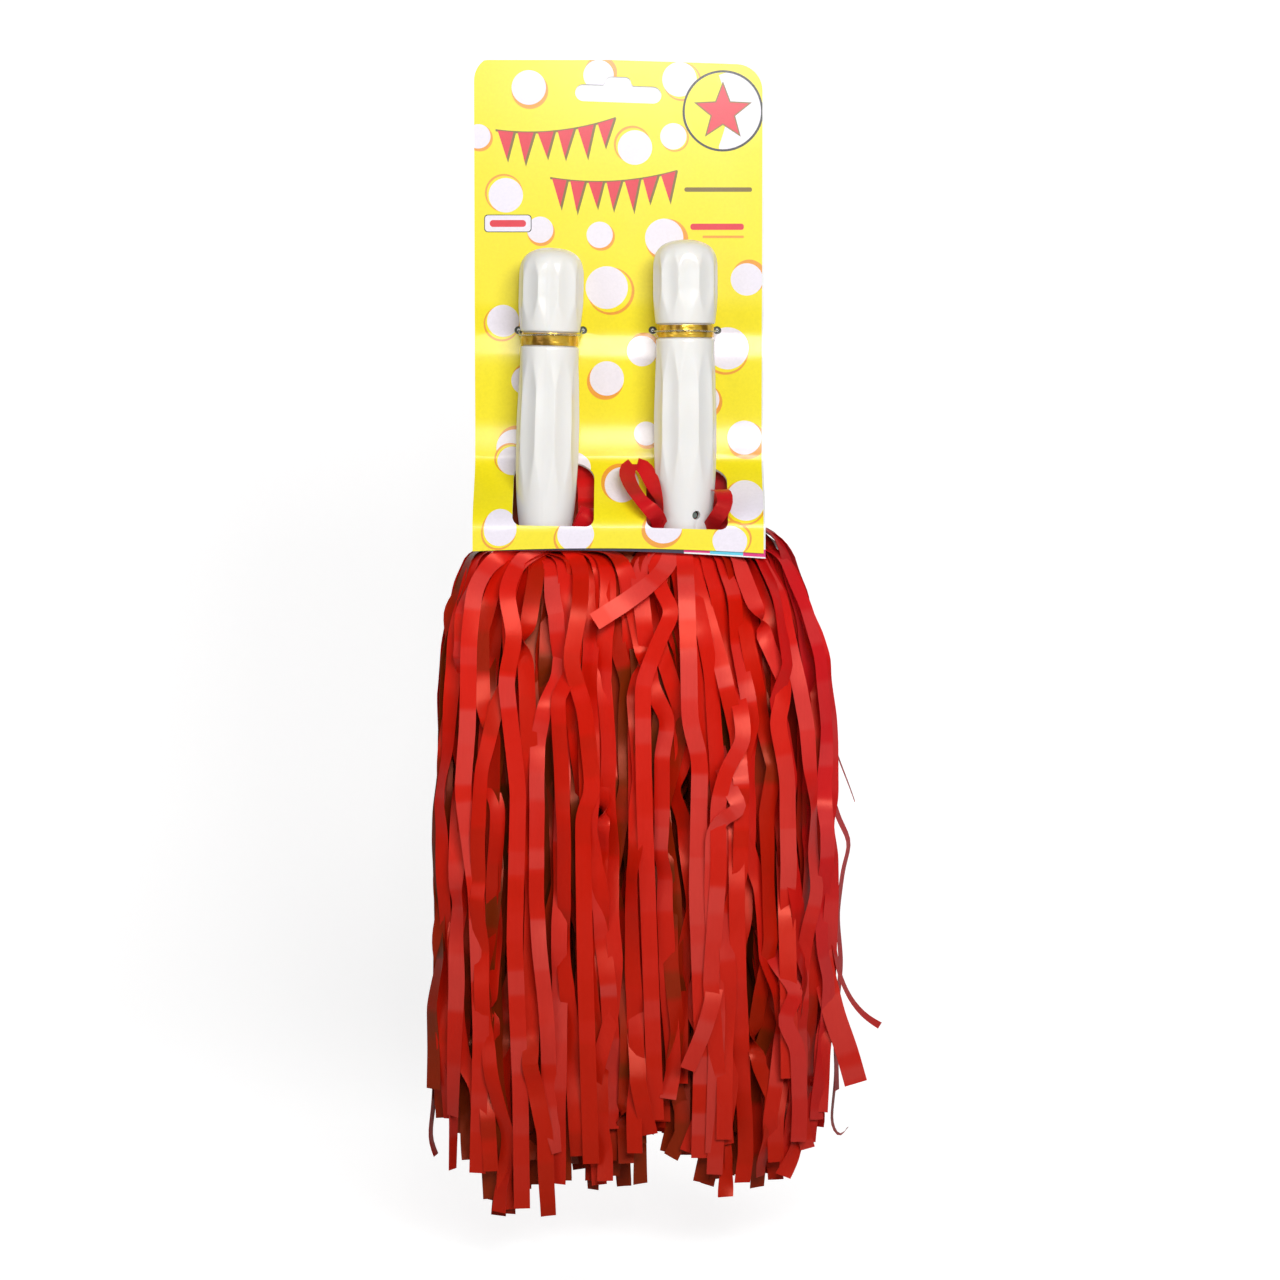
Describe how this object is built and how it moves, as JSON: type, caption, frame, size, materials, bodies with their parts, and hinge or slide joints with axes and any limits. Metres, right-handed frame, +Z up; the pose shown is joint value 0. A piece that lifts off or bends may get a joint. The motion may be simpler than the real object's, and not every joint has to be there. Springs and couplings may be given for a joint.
{
  "type": "cheer pom pom",
  "caption": "Carded set of cheer streamer pom poms: fluted white batons with gold neck bands, tied to a die-cut hang card, with long red film streamers.",
  "frame": {"origin": "the seat of the euro hang slot (the highest flat of its hump, on the back board), in the plane of the card's back", "axes": "+X to the right seen from the printed front, -Y out of the printed front, +Z up"},
  "size_m": [0.1521, 0.0414, 0.4246],
  "materials": {
    "printed_board": "satin",
    "plain_board": "satin",
    "handle_plastic": "gloss",
    "gold_foil": "polished",
    "clear_cord": "gloss",
    "pin_plastic": "satin",
    "wire": "satin",
    "streamer_film": "satin"
  },
  "bodies": {
    "card": {"front_card": "printed_board", "back_card": "plain_board", "left_card_tie": "clear_cord", "right_card_tie": "clear_cord"},
    "left_pom": {"left_streamer_shoulder": "streamer_film"},
    "left_handle": {"left_handle_shell": "handle_plastic", "left_gold_band": "gold_foil", "left_retaining_pin": "pin_plastic", "left_binding_wire": "wire", "left_streamer_root": "streamer_film"},
    "left_front_inner_lock": {"left_streamers_front_inner": "streamer_film"},
    "left_front_middle_lock": {"left_streamers_front_middle": "streamer_film"},
    "left_front_outer_lock": {"left_streamers_front_outer": "streamer_film"},
    "left_back_inner_lock": {"left_streamers_back_inner": "streamer_film"},
    "left_back_outer_lock": {"left_streamers_back_outer": "streamer_film"},
    "left_side_lock": {"left_streamers_side": "streamer_film"},
    "right_pom": {"right_streamer_shoulder": "streamer_film"},
    "right_handle": {"right_handle_shell": "handle_plastic", "right_gold_band": "gold_foil", "right_retaining_pin": "pin_plastic", "right_binding_wire": "wire", "right_streamer_root": "streamer_film"},
    "right_front_inner_lock": {"right_streamers_front_inner": "streamer_film"},
    "right_front_middle_lock": {"right_streamers_front_middle": "streamer_film"},
    "right_front_outer_lock": {"right_streamers_front_outer": "streamer_film"},
    "right_back_inner_lock": {"right_streamers_back_inner": "streamer_film"},
    "right_back_outer_lock": {"right_streamers_back_outer": "streamer_film"},
    "right_side_lock": {"right_streamers_side": "streamer_film"}
  },
  "joints": [
    {"name": "left_pom_slide", "type": "slide", "parent": "card", "child": "left_pom", "axis": [0.0262, 0, 0.9997], "range_m": [-0.0002, 0.0033]},
    {"name": "left_handle_spin", "type": "hinge", "parent": "left_pom", "child": "left_handle", "pos_m": [-0.0252, -0.0136, -0.0968], "axis": [0.0262, 0, 0.9997], "range_deg": [-45, 45]},
    {"name": "left_front_inner_swing", "type": "hinge", "parent": "left_pom", "child": "left_front_inner_lock", "pos_m": [-0.0012, -0.0344, -0.185], "axis": [-1, 0, 0], "range_deg": [0, 60], "stiffness_Nm_per_rad": 0.002},
    {"name": "left_front_middle_swing", "type": "hinge", "parent": "left_pom", "child": "left_front_middle_lock", "pos_m": [-0.01775, -0.0344, -0.185], "axis": [-1, 0, 0], "range_deg": [0, 60], "stiffness_Nm_per_rad": 0.002},
    {"name": "left_front_outer_swing", "type": "hinge", "parent": "left_pom", "child": "left_front_outer_lock", "pos_m": [-0.03745, -0.0344, -0.185], "axis": [-1, 0, 0], "range_deg": [0, 60], "stiffness_Nm_per_rad": 0.002},
    {"name": "left_back_inner_swing", "type": "hinge", "parent": "left_pom", "child": "left_back_inner_lock", "pos_m": [-0.0083, 0.0066, -0.185], "axis": [1, 0, 0], "range_deg": [0, 75], "stiffness_Nm_per_rad": 0.002},
    {"name": "left_back_outer_swing", "type": "hinge", "parent": "left_pom", "child": "left_back_outer_lock", "pos_m": [-0.0343, 0.0066, -0.185], "axis": [1, 0, 0], "range_deg": [0, 75], "stiffness_Nm_per_rad": 0.002},
    {"name": "left_side_swing", "type": "hinge", "parent": "left_pom", "child": "left_side_lock", "pos_m": [-0.054, -0.0139, -0.185], "axis": [0, 1, 0], "range_deg": [0, 50], "stiffness_Nm_per_rad": 0.002},
    {"name": "right_pom_slide", "type": "slide", "parent": "card", "child": "right_pom", "axis": [0, 0, 1], "range_m": [-0.002, 0.002]},
    {"name": "right_handle_spin", "type": "hinge", "parent": "right_pom", "child": "right_handle", "pos_m": [0.0248, -0.0136, -0.0938], "axis": [0, 0, 1], "range_deg": [-45, 45]},
    {"name": "right_front_inner_swing", "type": "hinge", "parent": "right_pom", "child": "right_front_inner_lock", "pos_m": [0.0128, -0.0344, -0.185], "axis": [-1, 0, 0], "range_deg": [0, 60], "stiffness_Nm_per_rad": 0.002},
    {"name": "right_front_middle_swing", "type": "hinge", "parent": "right_pom", "child": "right_front_middle_lock", "pos_m": [0.02935, -0.0344, -0.185], "axis": [-1, 0, 0], "range_deg": [0, 60], "stiffness_Nm_per_rad": 0.002},
    {"name": "right_front_outer_swing", "type": "hinge", "parent": "right_pom", "child": "right_front_outer_lock", "pos_m": [0.04905, -0.0344, -0.185], "axis": [-1, 0, 0], "range_deg": [0, 60], "stiffness_Nm_per_rad": 0.002},
    {"name": "right_back_inner_swing", "type": "hinge", "parent": "right_pom", "child": "right_back_inner_lock", "pos_m": [0.0199, 0.0066, -0.185], "axis": [1, 0, 0], "range_deg": [0, 75], "stiffness_Nm_per_rad": 0.002},
    {"name": "right_back_outer_swing", "type": "hinge", "parent": "right_pom", "child": "right_back_outer_lock", "pos_m": [0.0459, 0.0066, -0.185], "axis": [1, 0, 0], "range_deg": [0, 75], "stiffness_Nm_per_rad": 0.002},
    {"name": "right_side_swing", "type": "hinge", "parent": "right_pom", "child": "right_side_lock", "pos_m": [0.0656, -0.0139, -0.185], "axis": [0, -1, 0], "range_deg": [0, 50], "stiffness_Nm_per_rad": 0.002}
  ]
}
